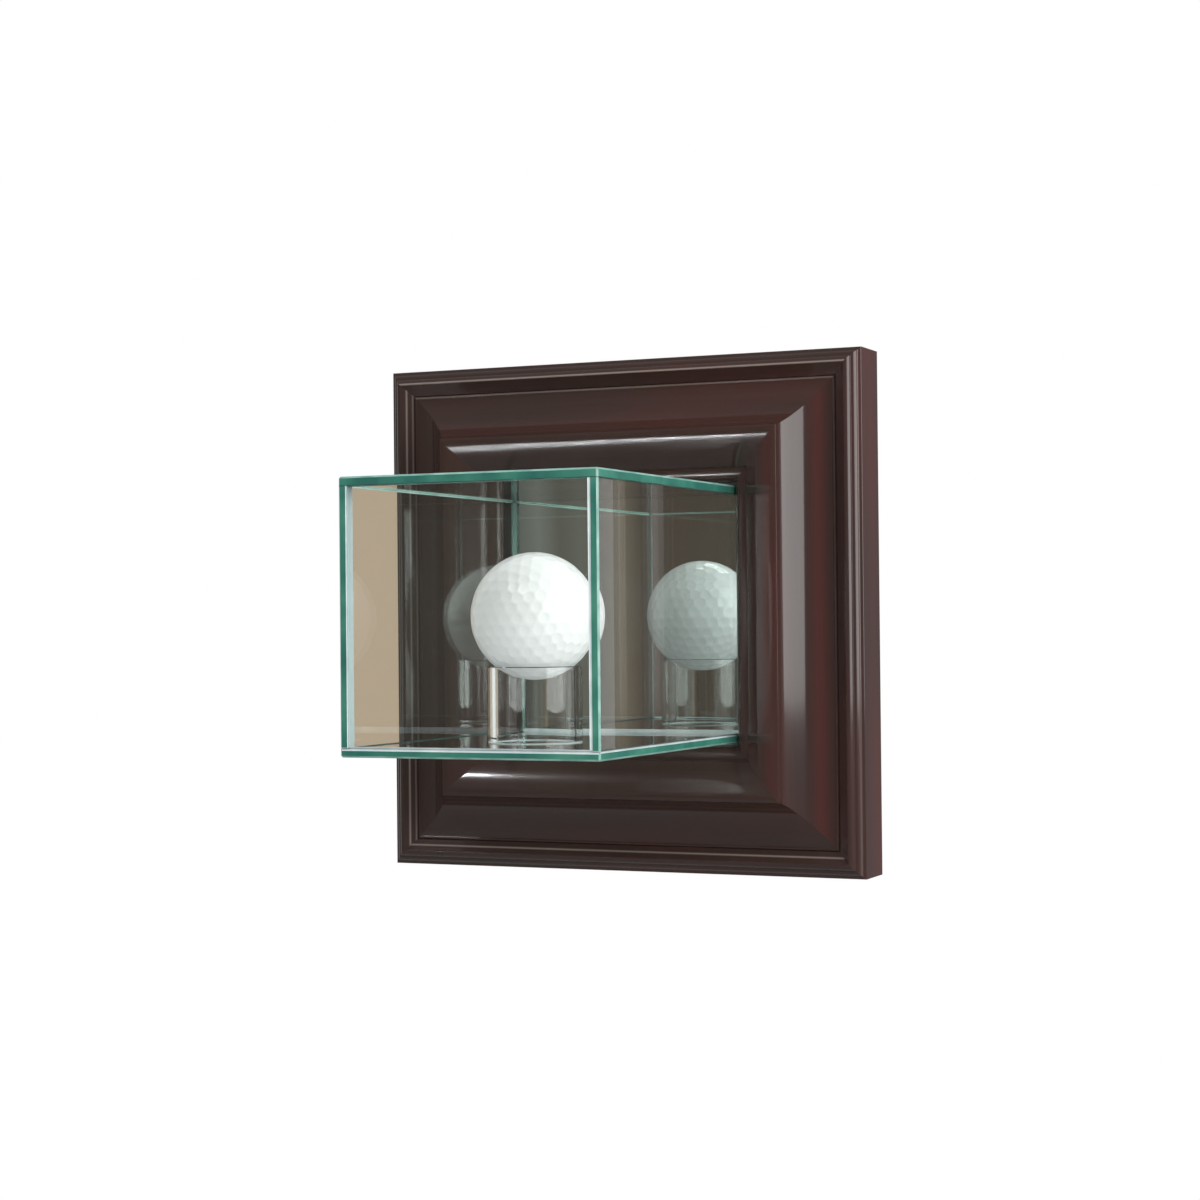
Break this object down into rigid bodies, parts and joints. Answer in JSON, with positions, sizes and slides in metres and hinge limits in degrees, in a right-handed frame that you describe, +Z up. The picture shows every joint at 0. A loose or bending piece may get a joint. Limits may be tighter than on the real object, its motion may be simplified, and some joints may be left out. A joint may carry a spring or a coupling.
{
  "type": "golf ball display case",
  "caption": "Wall-hung golf ball display case: mitred dark wooden frame, projecting glass box with a mirror back, clear tube riser, white ball, removable back panel.",
  "frame": {"origin": "In the wall plane, midway between the entry holes of the two keyhole hanger plates; the middle of the case is 68.5 mm below it", "axes": "+Y points into the wall and is the outward normal of the frame's back, +Z is up, +X is to the right for a person facing the wall"},
  "size_m": [0.184, 0.1391, 0.184],
  "materials": {
    "lacquered_wood": "satin dark cherry lacquer",
    "float_glass": "clear float glass with green edges",
    "mirror_glass": "silvered float glass",
    "hardboard": "plain brown hardboard",
    "clear_silicone": "clear satin",
    "clear_acrylic": "polished clear",
    "ball_cover": "glossy white",
    "zinc_plate": "bright zinc plate",
    "zinc_screw": "bright zinc",
    "steel_nail": "plain steel"
  },
  "bodies": {
    "case": {"top_rail": "lacquered_wood", "bottom_rail": "lacquered_wood", "left_rail": "lacquered_wood", "right_rail": "lacquered_wood", "corner_v_nails": "steel_nail", "front_pane": "float_glass", "top_pane": "float_glass", "bottom_pane": "float_glass", "left_pane": "float_glass", "right_pane": "float_glass", "glazing_seal": "clear_silicone", "turn_button_screws": "zinc_screw", "hanger_plate_left": "zinc_plate", "hanger_plate_right": "zinc_plate", "hanger_screws": "zinc_screw", "riser": "clear_acrylic"},
    "back_panel": {"mirror": "mirror_glass", "backing_board": "hardboard"},
    "ball": {"golf_ball": "ball_cover"},
    "button_top": {"turn_button_top": "zinc_plate"},
    "button_right": {"turn_button_right": "zinc_plate"},
    "button_bottom": {"turn_button_bottom": "zinc_plate"},
    "button_left": {"turn_button_left": "zinc_plate"}
  },
  "joints": [
    {"name": "back_panel_slide", "type": "slide", "parent": "case", "child": "back_panel", "axis": [0, 1, 0], "range_m": [0, 0.04]},
    {"name": "ball_lift", "type": "slide", "parent": "case", "child": "ball", "axis": [0, 0, 1], "range_m": [0, 0.018]},
    {"name": "turn_button_top_turn", "type": "hinge", "parent": "case", "child": "button_top", "pos_m": [0, -0.0051, -0.0095], "axis": [0, -1, 0], "range_deg": [0, 90]},
    {"name": "turn_button_right_turn", "type": "hinge", "parent": "case", "child": "button_right", "pos_m": [0.059, -0.0051, -0.0685], "axis": [0, -1, 0], "range_deg": [0, 90]},
    {"name": "turn_button_bottom_turn", "type": "hinge", "parent": "case", "child": "button_bottom", "pos_m": [0, -0.0051, -0.1275], "axis": [0, -1, 0], "range_deg": [0, 90]},
    {"name": "turn_button_left_turn", "type": "hinge", "parent": "case", "child": "button_left", "pos_m": [-0.059, -0.0051, -0.0685], "axis": [0, -1, 0], "range_deg": [0, 90]}
  ]
}
